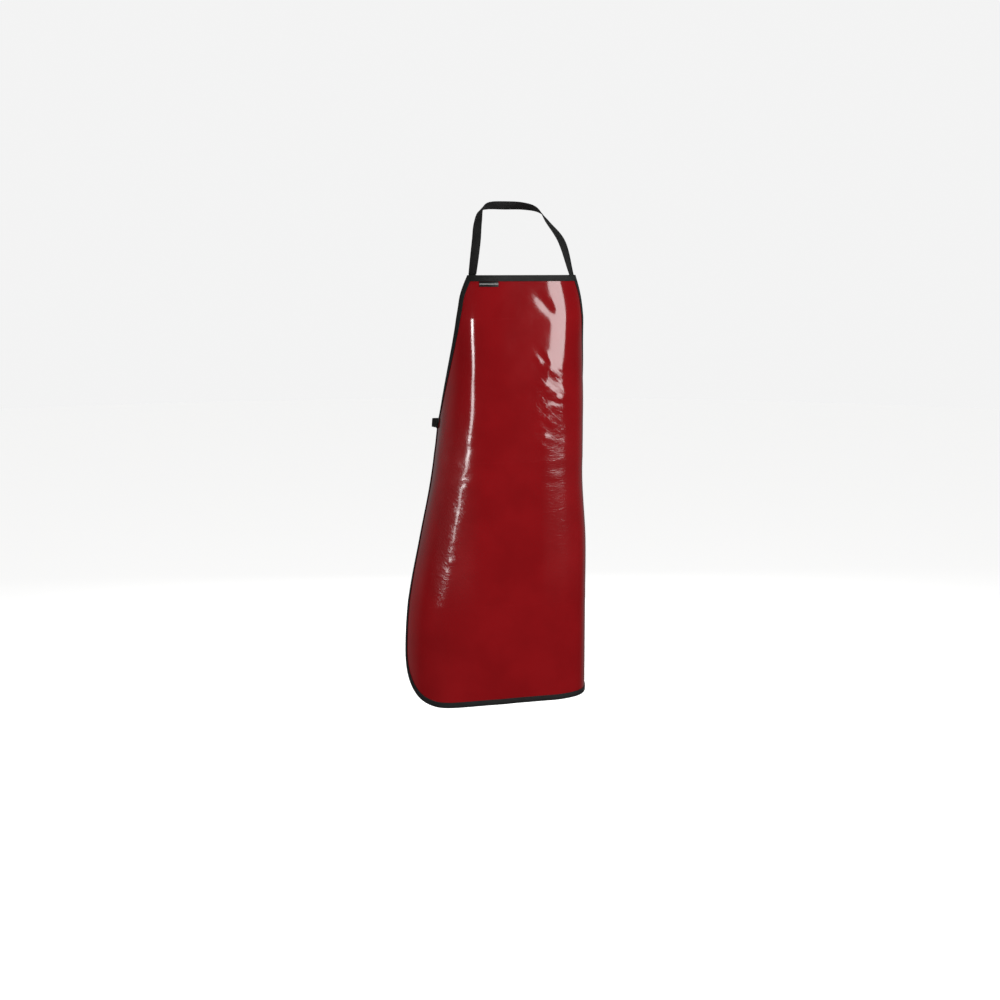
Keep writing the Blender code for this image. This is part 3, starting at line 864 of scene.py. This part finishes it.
class APRON_OT_waist_ties(bpy.types.Operator):
    """Lap a woven tie on each waist corner and lead it round to the knot"""

    bl_idname = "apron.waist_ties"
    bl_label = "Waist ties"

    def execute(self, context):
        cloth = hung_panel(context)
        tapes = cloth.tapes
        lift = cloth.binding_out + cloth.lap_air
        middle_down = cloth.sizes.armhole_depth + tapes.strap_width / 2
        height = -cloth.sizes.bib_drop - middle_down
        knot_back = cloth.sizes.back_reach - cloth.sizes.neck_depth
        start = (KNOT_HIGH.x - KNOT_LOW.x) / 2 - TIE_INTO_KNOT
        acrosses = np.linspace(cloth.half_width - tapes.binding_width, cloth.half_width,
                               CELLS_LAP + 1)
        for name, way in SIDES:
            edges = [flat_points(way * acrosses, middle_down + end * tapes.strap_width / 2)
                     for end in (-way, way)]
            lap = lap_frames(cloth, *edges, lift)
            edge = lap[0][-1]
            face = lap[2][-1]
            back = unit(edge - lap[0][0])
            bow = edge + tapes.tie_bow * (face + back)
            free = np.stack([way * (start + TIE["out"] * (abs(edge[0]) - start)),
                             edge[1] + TIE["back"] * (knot_back - edge[1]),
                             np.full(len(TIE_ROWS), height), way * TIE["face_out"],
                             TIE["face_back"], np.zeros(len(TIE_ROWS))], axis=1)
            route = np.vstack([(*edge, *face), (*bow, *(face + back)), free])
            run = strap_frames(smooth_route(route, CELLS_TIE))
            frames = [np.concatenate([near, after[1:]]) for near, after in zip(lap, run)]
            sewn_strap(context, "waist_webbing_" + name, "waist_tie_" + name, cloth, frames,
                       [(1, CELLS_LAP - 1)], tapes.strap_wall + STITCH_RISE)
        return {"FINISHED"}


class APRON_OT_knot(bpy.types.Operator):
    """Model the knot behind the waist"""

    bl_idname = "apron.knot"
    bl_label = "Knot"

    def execute(self, context):
        middle = (KNOT_LOW + KNOT_HIGH) / 2
        size = KNOT_HIGH - KNOT_LOW
        bpy.ops.object.select_all(action="DESELECT")
        bpy.ops.mesh.primitive_cube_add(size=1.0, location=middle, scale=size)
        knot = bpy.context.active_object
        knot.name = "tied_knot"
        bpy.ops.object.transform_apply(location=True, rotation=True, scale=True)
        bpy.ops.object.mode_set(mode="EDIT")
        bpy.ops.mesh.select_all(action="SELECT")
        bpy.ops.mesh.subdivide(number_cuts=KNOT_CUTS)
        for reach, wide, tall in KNOT_PINCHES:
            pick_points(knot, lambda place: abs(place.x - middle.x) > reach * size.x)
            bpy.ops.transform.resize(value=(1.0, wide, tall), center_override=middle)
        pick_points(knot, lambda place: abs(place.x - middle.x) < KNOT_WRAP * size.x)
        bpy.ops.mesh.extrude_region_shrink_fatten(
            TRANSFORM_OT_shrink_fatten={"value": KNOT_RAISED})
        bpy.ops.object.mode_set(mode="OBJECT")
        face_outwards(knot)
        apply_modifier(knot, "Round", "SUBSURF", levels=2, render_levels=2)
        bpy.ops.object.shade_smooth()
        knot.data.uv_layers.active.name = FLAT_MAP
        settle(context, knot, "Black woven strap", "tie_knot")
        return {"FINISHED"}


class APRON_OT_tie_ends(bpy.types.Operator):
    """Hang the two plain ends below the knot"""

    bl_idname = "apron.tie_ends"
    bl_label = "Tie ends"

    def execute(self, context):
        cloth = hung_panel(context)
        width = cloth.tapes.strap_width
        top = KNOT_LOW.z + TIE_INTO_KNOT
        length = top - END_LOW.z
        splay = END_HIGH.x - width - cloth.tapes.gap
        back = cloth.sizes.back_reach - cloth.sizes.neck_depth
        shares = np.linspace(0.0, 1.0, CELLS_TIE_END + 1)
        for name, way in SIDES:
            outs = way * (width / 2 + cloth.tapes.gap + splay * shares ** 2)
            sway = END_SWAY * np.sin(shares * math.pi * END_WAVE + way) * shares
            middles = np.stack([outs, back + sway, top - shares * length], axis=1)
            ways = unit(np.gradient(middles, axis=0))
            sides = unit(np.cross(ways, (0.0, 1.0, 0.0)))
            strap, real = strap_piece(context, "tie_tail_" + name, "tie_end_" + name, cloth,
                                      (middles, sides, unit(np.cross(sides, ways))))
        return {"FINISHED"}


class APRON_OT_label(bpy.types.Operator):
    """Sew the bare label below the top binding"""

    bl_idname = "apron.label"
    bl_label = "Bare label"

    def execute(self, context):
        cloth = hung_panel(context)
        tapes = cloth.tapes
        start = -cloth.half_bib + tapes.label_from_edge
        top = tapes.binding_width + tapes.gap
        acrosses = np.linspace(start, start + tapes.label_width, CELLS_LABEL + 1)
        wall = tapes.label_wall
        section = soft_section(tapes.label_height, wall, LABEL_SOFT)
        rings = cloth.lifted(acrosses[:, None], top + tapes.label_height / 2 - section[None, :, 0],
                             cloth.face + tapes.gap + section[None, :, 1])
        label = tube_piece("bare_label", rings, acrosses - start, section_girth(section),
                           [tuple(range(len(section)))])
        settle(context, label, "Black satin label", "label_tab")
        inset = STITCH_INSET / 2
        downs = np.linspace(top + inset, top + tapes.label_height - inset, 6)
        columns = [flat_points(across, downs).T
                   for across in (start + inset, start + tapes.label_width - inset)]
        lines = [sewn_line(cloth.lifted(*column, cloth.face + tapes.gap + wall),
                           cloth.facing(*column)) for column in columns]
        sewing = stitches_piece(context, "label_stitches", lines)
        return {"FINISHED"}


class APRON_OT_stage(bpy.types.Operator):
    """Set the pale floor, the soft lights and the camera"""

    bl_idname = "apron.stage"
    bl_label = "Stage"

    def execute(self, context):
        set_floor(context)
        set_world(context)
        set_lights(context)
        set_camera(context)
        context.scene.view_settings.view_transform = "Standard"
        return {"FINISHED"}


def set_floor(context):
    """A wide pale disc below the apron, with a rounded rim."""
    bpy.ops.object.select_all(action="DESELECT")
    bpy.ops.mesh.primitive_circle_add(vertices=128, radius=FLOOR_RADIUS, fill_type="NGON",
                                      location=(0.0, 0.0, -FLOOR_DROP))
    floor = context.active_object
    floor.name = "pale_floor"
    bpy.ops.object.mode_set(mode="EDIT")
    bpy.ops.mesh.select_all(action="SELECT")
    bpy.ops.mesh.extrude_region_move(TRANSFORM_OT_translate={"value": (0, 0, -FLOOR_EDGE)})
    bpy.ops.object.mode_set(mode="OBJECT")
    face_outwards(floor)
    floor.data.materials.append(finish(context, "Pale floor"))
    floor.visible_glossy = False
    floor.visible_diffuse = False


def set_world(context):
    """Even pale light, dim in front where the gloss would mirror it."""
    world = bpy.data.worlds.new("Pale studio")
    context.scene.world = world
    world.use_nodes = True
    world.node_tree.nodes.clear()
    desk = NodeDesk(world.node_tree)
    place = desk.node("ShaderNodeTexCoord").outputs["Generated"]
    behind = desk.parts(place)["Y"]
    path = desk.node("ShaderNodeLightPath").outputs
    shown = desk.glow(WORLD_LIGHT)
    for ray, strength in (("Is Glossy Ray", desk.spread(behind, 0.0, *WORLD_MIRRORED)),
                          ("Is Camera Ray", WORLD_SEEN)):
        shown = desk.node("ShaderNodeMixShader", {
            "Fac": path[ray], 1: shown, 2: desk.glow(strength)}).outputs["Shader"]
    desk.node("ShaderNodeOutputWorld", {"Surface": shown})


def set_lights(context):
    """The soft lights, each turned towards the bib."""
    sizes = context.scene.apron_panel
    aim = Vector((0.0, -sizes.neck_depth - sizes.front_reach, -LIGHT_AIM * sizes.length))
    for row in LIGHTS:
        turn = math.radians(row["turn"])
        data = bpy.data.lights.new(row["name"], "AREA")
        data.shape = "RECTANGLE"
        data.size = row["width"]
        data.size_y = row["tall"]
        data.energy = row["power"]
        light = linked(context, row["name"], data)
        light.location = aim + row["distance"] * Vector((math.sin(turn), -math.cos(turn), 0.0))
        light.location.z = row["height"]
        light.rotation_euler = (aim - light.location).to_track_quat("-Z", "Y").to_euler()
        light.visible_camera = False
        light.visible_glossy = not row["name"].endswith("fill")


def set_camera(context):
    """A camera at the eye's place, looking a little down."""
    data = bpy.data.cameras.new("Front view")
    data.lens = CAMERA_LENS
    data.sensor_width = CAMERA_SENSOR
    camera = linked(context, "Front view", data)
    back = Vector((math.sin(CAMERA_TURN), -math.cos(CAMERA_TURN), 0.0))
    aside = Vector((math.cos(CAMERA_TURN), math.sin(CAMERA_TURN), 0.0))
    neck = Vector((0.0, -context.scene.apron_panel.neck_depth, CAMERA_HEIGHT))
    camera.location = neck + back * CAMERA_DISTANCE - aside * CAMERA_ASIDE
    camera.rotation_euler = (math.pi / 2 - CAMERA_TILT, 0.0, CAMERA_TURN)
    context.scene.camera = camera


class NodeDesk:
    """Makes and joins the nodes of a material, a node group or the world."""

    def __init__(self, tree):
        self.tree = tree

    def fill(self, node, values):
        """Link a node's inputs to other sockets, or set their values."""
        for name, value in values.items():
            if isinstance(value, bpy.types.NodeSocket):
                self.tree.links.new(value, node.inputs[name])
            else:
                node.inputs[name].default_value = value
        return node

    def node(self, kind, values=None, **settings):
        """A node with its settings and its inputs' values or links."""
        made = self.tree.nodes.new(kind)
        for setting, value in settings.items():
            setattr(made, setting, value)
        return self.fill(made, values or {})

    def flat(self):
        """The flat map, in metres."""
        return self.node("ShaderNodeUVMap", uv_map=FLAT_MAP).outputs["UV"]

    def place(self):
        """Where a point lies on its object."""
        return self.node("ShaderNodeTexCoord").outputs["Object"]

    def parts(self, vector):
        """A vector's X, Y and Z."""
        return self.node("ShaderNodeSeparateXYZ", {"Vector": vector}).outputs

    def math(self, operation, *values):
        """One sum on values."""
        return self.node("ShaderNodeMath", dict(enumerate(values)), operation=operation).outputs[0]

    def product(self, first, *others):
        """Values multiplied together."""
        for other in others:
            first = self.math("MULTIPLY", first, other)
        return first

    def away(self, value, middle):
        """How far a value is from a middle one."""
        return self.math("ABSOLUTE", self.math("SUBTRACT", value, middle))

    def spread(self, value, low, high, to_low=0.0, to_high=1.0):
        """Ease a value from one range into another."""
        made = self.node("ShaderNodeMapRange", {
            "Value": value, "From Min": low, "From Max": high, "To Min": to_low,
            "To Max": to_high}, interpolation_type="SMOOTHSTEP")
        return made.outputs["Result"]

    def blend(self, share, first, second):
        """Mix two colours."""
        return self.node("ShaderNodeMix", {0: share, 6: first, 7: second},
                         data_type="RGBA").outputs[2]

    def noise(self, vector, scale, detail=2.0, roughness=0.5, distortion=0.0):
        """Soft noise from 0 to 1."""
        return self.node("ShaderNodeTexNoise", {
            "Vector": vector, "Scale": scale, "Detail": detail, "Roughness": roughness,
            "Distortion": distortion}).outputs["Fac"]

    def stretched(self, vector, across, down, turn=0.0):
        """The same vector turned, then with its two sides stretched."""
        return self.node("ShaderNodeMapping", {
            "Vector": vector, "Rotation": (0.0, 0.0, math.radians(turn)),
            "Scale": (1.0 / across, 1.0 / down, 1.0)}, vector_type="TEXTURE").outputs["Vector"]

    def bump(self, height, distance):
        """The way that a surface faces with a height raised on it."""
        return self.node("ShaderNodeBump", {
            "Height": height, "Distance": distance, "Strength": 1.0}).outputs["Normal"]

    def glow(self, strength):
        """White light from all round."""
        return self.node("ShaderNodeBackground", {
            "Color": WHITE, "Strength": strength}).outputs["Background"]

    def weave(self, flat, across, along, uneven=0.15):
        """A weave's height and hollows, for the pitch of its threads each way."""
        return self.node("ShaderNodeGroup", {
            "Flat": flat, "Pitch Across": across, "Pitch Along": along, "Uneven": uneven},
            node_tree=shared_group("Apron weave", "Flat",
                                   ("Pitch Across", "Pitch Along", "Uneven"),
                                   plain_weave)).outputs

    def handling(self, place, blotches, lint=500.0):
        """The blotches and the lint of handling, for how fine each is."""
        return self.node("ShaderNodeGroup", {
            "Place": place, "Blotch Scale": blotches, "Lint Scale": lint},
            node_tree=shared_group("Apron handling", "Place", ("Blotch Scale", "Lint Scale"),
                                   soft_handling)).outputs


def shared_group(name, place, numbers, build):
    """A node group with one vector and some numbers as inputs, made at its first use."""
    if name not in bpy.data.node_groups:
        group = bpy.data.node_groups.new(name, "ShaderNodeTree")
        group.interface.new_socket(place, in_out="INPUT", socket_type="NodeSocketVector")
        for number in numbers:
            group.interface.new_socket(number, in_out="INPUT", socket_type="NodeSocketFloat")
        desk = NodeDesk(group)
        made = build(desk, desk.node("NodeGroupInput").outputs)
        for result in made:
            group.interface.new_socket(result, in_out="OUTPUT", socket_type="NodeSocketFloat")
        desk.node("NodeGroupOutput", made)
    return bpy.data.node_groups[name]


def plain_weave(desk, given):
    """Plain weave on a flat map: a height for its threads, and how deep between them."""
    wander = desk.product(desk.noise(given["Flat"], 900.0), given["Uneven"])
    split = desk.parts(given["Flat"])
    across = desk.math("DIVIDE", split["X"], given["Pitch Across"])
    along = desk.math("DIVIDE", split["Y"], given["Pitch Along"])
    row = desk.product(desk.math("FLOOR", across), 0.5)
    bar, knuckle = (desk.math("ABSOLUTE", desk.math("SINE", desk.product(turn, math.pi)))
                    for turn in (across, desk.math("ADD", along, row)))
    height = desk.product(desk.math("POWER", bar, 0.5), desk.math("POWER", knuckle, 0.6))
    height = desk.math("ADD", height, wander)
    return {"Height": height, "Hollow": desk.spread(height, 0.15, 0.6, 1.0, 0.0)}


def soft_handling(desk, given):
    """Uneven handling of a surface: soft blotches and lint."""
    blotch = desk.noise(given["Place"], given["Blotch Scale"], 3.0, 0.55)
    lint = desk.noise(given["Place"], given["Lint Scale"], 2.0, 0.6)
    return {"Blotch": desk.spread(blotch, 0.3, 0.7), "Lint": desk.spread(lint, 0.62, 0.75)}


def shaded(tone, share=1.0, lift=0.0):
    """A darker or paler tone, as a socket's colour."""
    return (*(part * share + lift for part in tone), 1.0)


def coated_vinyl(desk, scene):
    """Deep red coated face: smooth gloss, crinkled where it was folded and bent."""
    flat = desk.flat()
    split = desk.parts(flat)
    spans = {"X": scene.apron_panel.width, "Y": scene.apron_panel.length}
    masks = {name: desk.spread(split[axis], spans[axis] * low, spans[axis] * high, *values)
             for name, (axis, low, high, *values) in MASKS.items()}
    worn = desk.handling(flat, 9.0)
    folds = desk.away(desk.noise(desk.stretched(flat, 38.0, 135.0), 1.0, 1.0, 0.55, 0.3), 0.5)
    crinkles = desk.away(desk.noise(desk.stretched(flat, 30.0, 82.0, 42.0), 1.0, 1.0, 0.55, 0.7),
                         0.5)
    band = desk.product(masks["upper"], masks["lower"])
    left = desk.product(masks["left"], masks["flank"])
    worked = desk.math("MULTIPLY_ADD", band, desk.math("ADD", masks["right"], left), FAINT)
    pressed = desk.product(masks["above"], masks["below"], masks["aside"])
    pressed = desk.math("MULTIPLY_ADD", desk.product(band, left), masks["deeper"], pressed)
    lines = 0.0
    for share in FOLD_LINES:
        away = desk.away(split["Y"], share * spans["Y"])
        lines = desk.math("MAXIMUM", lines, desk.spread(away, 0.0, FOLD_LINE_REACH, 1.0, 0.0))
    broken = desk.spread(desk.noise(flat, 38.0, 3.0, 0.6), 0.42, 0.62)
    relief = {
        "swell": desk.noise(desk.stretched(flat, 26.0, 15.0), 1.0),
        "folds": desk.product(folds, worked),
        "crinkles": desk.product(crinkles, desk.math("ADD", pressed, FAINT)),
        "lines": desk.product(lines, broken),
        "peel": desk.noise(flat, 330.0, 2.0, 0.45),
        "weave": desk.weave(flat, 0.0011, 0.0011)["Height"],
    }
    height = 0.0
    for name, rise in VINYL_RELIEF.items():
        height = desk.math("MULTIPLY_ADD", relief[name], rise, height)
    vinyl = scene.apron_colours.vinyl
    tone = desk.blend(worn["Blotch"], shaded(vinyl, 0.86), shaded(vinyl))
    # A lighter, pinker tone, blended in along the fold lines
    fold_line_tone = (vinyl[0] * 1.15, vinyl[1] * 2.2, vinyl[2] * 2.0, 1.0)
    rough = desk.math("MULTIPLY_ADD", worn["Blotch"], 0.02, 0.10)
    return {"Base Color": desk.blend(desk.product(relief["lines"], 0.35), tone, fold_line_tone),
            "Roughness": desk.math("MULTIPLY_ADD", worked, 0.075, rough),
            "Normal": desk.bump(height, 1.0),
            "IOR": 1.5, "Coat Weight": 0.5, "Coat Roughness": 0.05, "Coat IOR": 1.45}


def backing_cloth(desk, scene):
    """Woven cloth back of the panel, in a duller red, with painted shade in the weave's hollows.
    """
    flat = desk.flat()
    threads = desk.weave(flat, 0.0009, 0.0009)
    backing = scene.apron_colours.backing
    tone = desk.blend(desk.handling(flat, 14.0)["Blotch"], shaded(backing), shaded(backing, 1.12))
    # Painted shade: the weave's hollows darken the cloth towards a deeper red
    hollow_shade = desk.product(threads["Hollow"], 0.7)
    return {"Base Color": desk.blend(hollow_shade, tone, shaded(backing, 0.55)),
            "Roughness": desk.math("MULTIPLY_ADD", threads["Hollow"], 0.2, 0.62),
            "Normal": desk.bump(threads["Height"], 0.00014), "Sheen Weight": 0.15}


def woven(desk, base, pitch_across, pitch_along, raised):
    """Woven tape or strap: ribs of thread, lint, painted shade between the threads and a soft
    sheen.
    """
    flat = desk.flat()
    threads = desk.weave(flat, pitch_across, pitch_along, 0.25)
    worn = desk.handling(flat, 35.0, 700.0)
    pale = shaded(base, 1.5, 0.004)
    tone = shaded(base)
    # Paler blotches and lint, then painted shade: the weave's hollows darkened towards a third of
    # the tone
    for mask, share, other in ((worn["Blotch"], 0.4, pale), (worn["Lint"], 0.5, pale),
                               (threads["Hollow"], 0.75, shaded(base, 0.35))):
        tone = desk.blend(desk.product(mask, share), tone, other)
    return {"Base Color": tone,
            "Roughness": desk.math("MULTIPLY_ADD", threads["Hollow"], 0.2, 0.55),
            "Normal": desk.bump(threads["Height"], raised),
            "Specular IOR Level": 0.3, "Sheen Weight": 0.03, "Sheen Roughness": 0.45}


def binding_tape(desk, scene):
    """Black folded tape with fine ribs across it."""
    return woven(desk, scene.apron_colours.tape, 0.0012, 0.0007, 0.00016)


def woven_strap(desk, scene):
    """Black woven strap with coarser ribs."""
    return woven(desk, scene.apron_colours.strap, 0.0017, 0.0011, 0.00025)


def sewing_thread(desk, scene):
    """Black sewing thread, twisted and slightly shiny."""
    thread = scene.apron_colours.thread
    twist = desk.noise(desk.place(), 2600.0, 1.0)
    return {"Base Color": desk.blend(twist, shaded(thread, 0.5), shaded(thread)),
            "Roughness": desk.math("MULTIPLY_ADD", twist, 0.2, 0.35),
            "Normal": desk.bump(twist, 0.00008)}


def satin_label(desk, scene):
    """Black satin label, bare but for a plain pale line woven along it, with painted shade in the
    weave's hollows.
    """
    flat = desk.flat()
    threads = desk.weave(flat, 0.0004, 0.0006)
    label = scene.apron_colours.label
    girth = 2.0 * scene.apron_tape.label_height + scene.apron_tape.label_wall
    away = desk.away(desk.parts(flat)["X"], girth * LABEL_LINE_PLACE)
    # Painted shade: the pale line is dimmed and the label darkened to half its tone in the weave's
    # hollows
    line = desk.product(desk.spread(away, *LABEL_LINE_FADE, 1.0, 0.0),
                        desk.spread(threads["Hollow"], 0.2, 0.9, 1.0, 0.45))
    tone = desk.blend(threads["Hollow"], shaded(label), shaded(label, 0.5))
    return {"Base Color": desk.blend(line, tone, shaded(scene.apron_colours.label_line)),
            "Roughness": desk.math("MULTIPLY_ADD", threads["Hollow"], 0.25, 0.35),
            "Normal": desk.bump(threads["Height"], 0.00006)}


def pale_floor(desk, scene):
    """Plain pale matte floor with a faint unevenness."""
    floor = scene.apron_colours.floor
    return {"Base Color": desk.blend(desk.noise(desk.place(), 2.0), shaded(floor),
                                     shaded(floor, 0.99)),
            "Roughness": 0.9, "Specular IOR Level": 0.1,
            "Emission Color": WHITE, "Emission Strength": FLOOR_GLOW}


FINISHES = {
    "Red coated vinyl": coated_vinyl,
    "Red backing cloth": backing_cloth,
    "Black binding tape": binding_tape,
    "Black woven strap": woven_strap,
    "Black thread": sewing_thread,
    "Black satin label": satin_label,
    "Pale floor": pale_floor,
}


def finish(context, look):
    """The material of that look, made at its first use."""
    if look not in bpy.data.materials:
        material = bpy.data.materials.new(look)
        material.use_nodes = True
        desk = NodeDesk(material.node_tree)
        desk.fill(material.node_tree.nodes["Principled BSDF"],
                  FINISHES[look](desk, context.scene))
    return bpy.data.materials[look]


PIECES = (APRON_OT_panel, APRON_OT_bindings, APRON_OT_label, APRON_OT_neck_strap,
          APRON_OT_waist_ties, APRON_OT_knot, APRON_OT_tie_ends, APRON_OT_stage)


class APRON_PT_sidebar(bpy.types.Panel):
    """Apron tools in the 3D view's sidebar"""

    bl_idname = "APRON_PT_sidebar"
    bl_label = "Dishwashing apron"
    bl_space_type = "VIEW_3D"
    bl_region_type = "UI"
    bl_category = "Apron"

    def draw(self, context):
        """List the pieces and the values that they are made from."""
        layout = self.layout
        for piece in PIECES:
            layout.operator(piece.bl_idname)
        for group in (context.scene.apron_panel, context.scene.apron_tape,
                      context.scene.apron_colours):
            box = layout.box()
            for name in group.__annotations__:
                box.prop(group, name)


CLASSES = (ApronPanelSizes, ApronTapeSizes, ApronColours, *PIECES, APRON_PT_sidebar)


def register():
    """Add the apron's tools to Blender."""
    for item in CLASSES:
        bpy.utils.register_class(item)
    bpy.types.Scene.apron_panel = bpy.props.PointerProperty(type=ApronPanelSizes)
    bpy.types.Scene.apron_tape = bpy.props.PointerProperty(type=ApronTapeSizes)
    bpy.types.Scene.apron_colours = bpy.props.PointerProperty(type=ApronColours)


def unregister():
    """Take the apron's tools out of Blender."""
    del bpy.types.Scene.apron_colours
    del bpy.types.Scene.apron_tape
    del bpy.types.Scene.apron_panel
    for item in reversed(CLASSES):
        bpy.utils.unregister_class(item)


def declare_panel(context):
    """Work out the flat area of the panel's cloth, once the tapes that go with it are there; the
    area is not kept.
    """
    cloth = hung_panel(context)
    cloth.flat_area()


def main():
    """Build every piece, then work out the panel's flat area."""
    register()
    for piece in PIECES:
        group, name = piece.bl_idname.split(".")
        getattr(getattr(bpy.ops, group), name)()
    declare_panel(bpy.context)


if __name__ == "__main__":
    main()
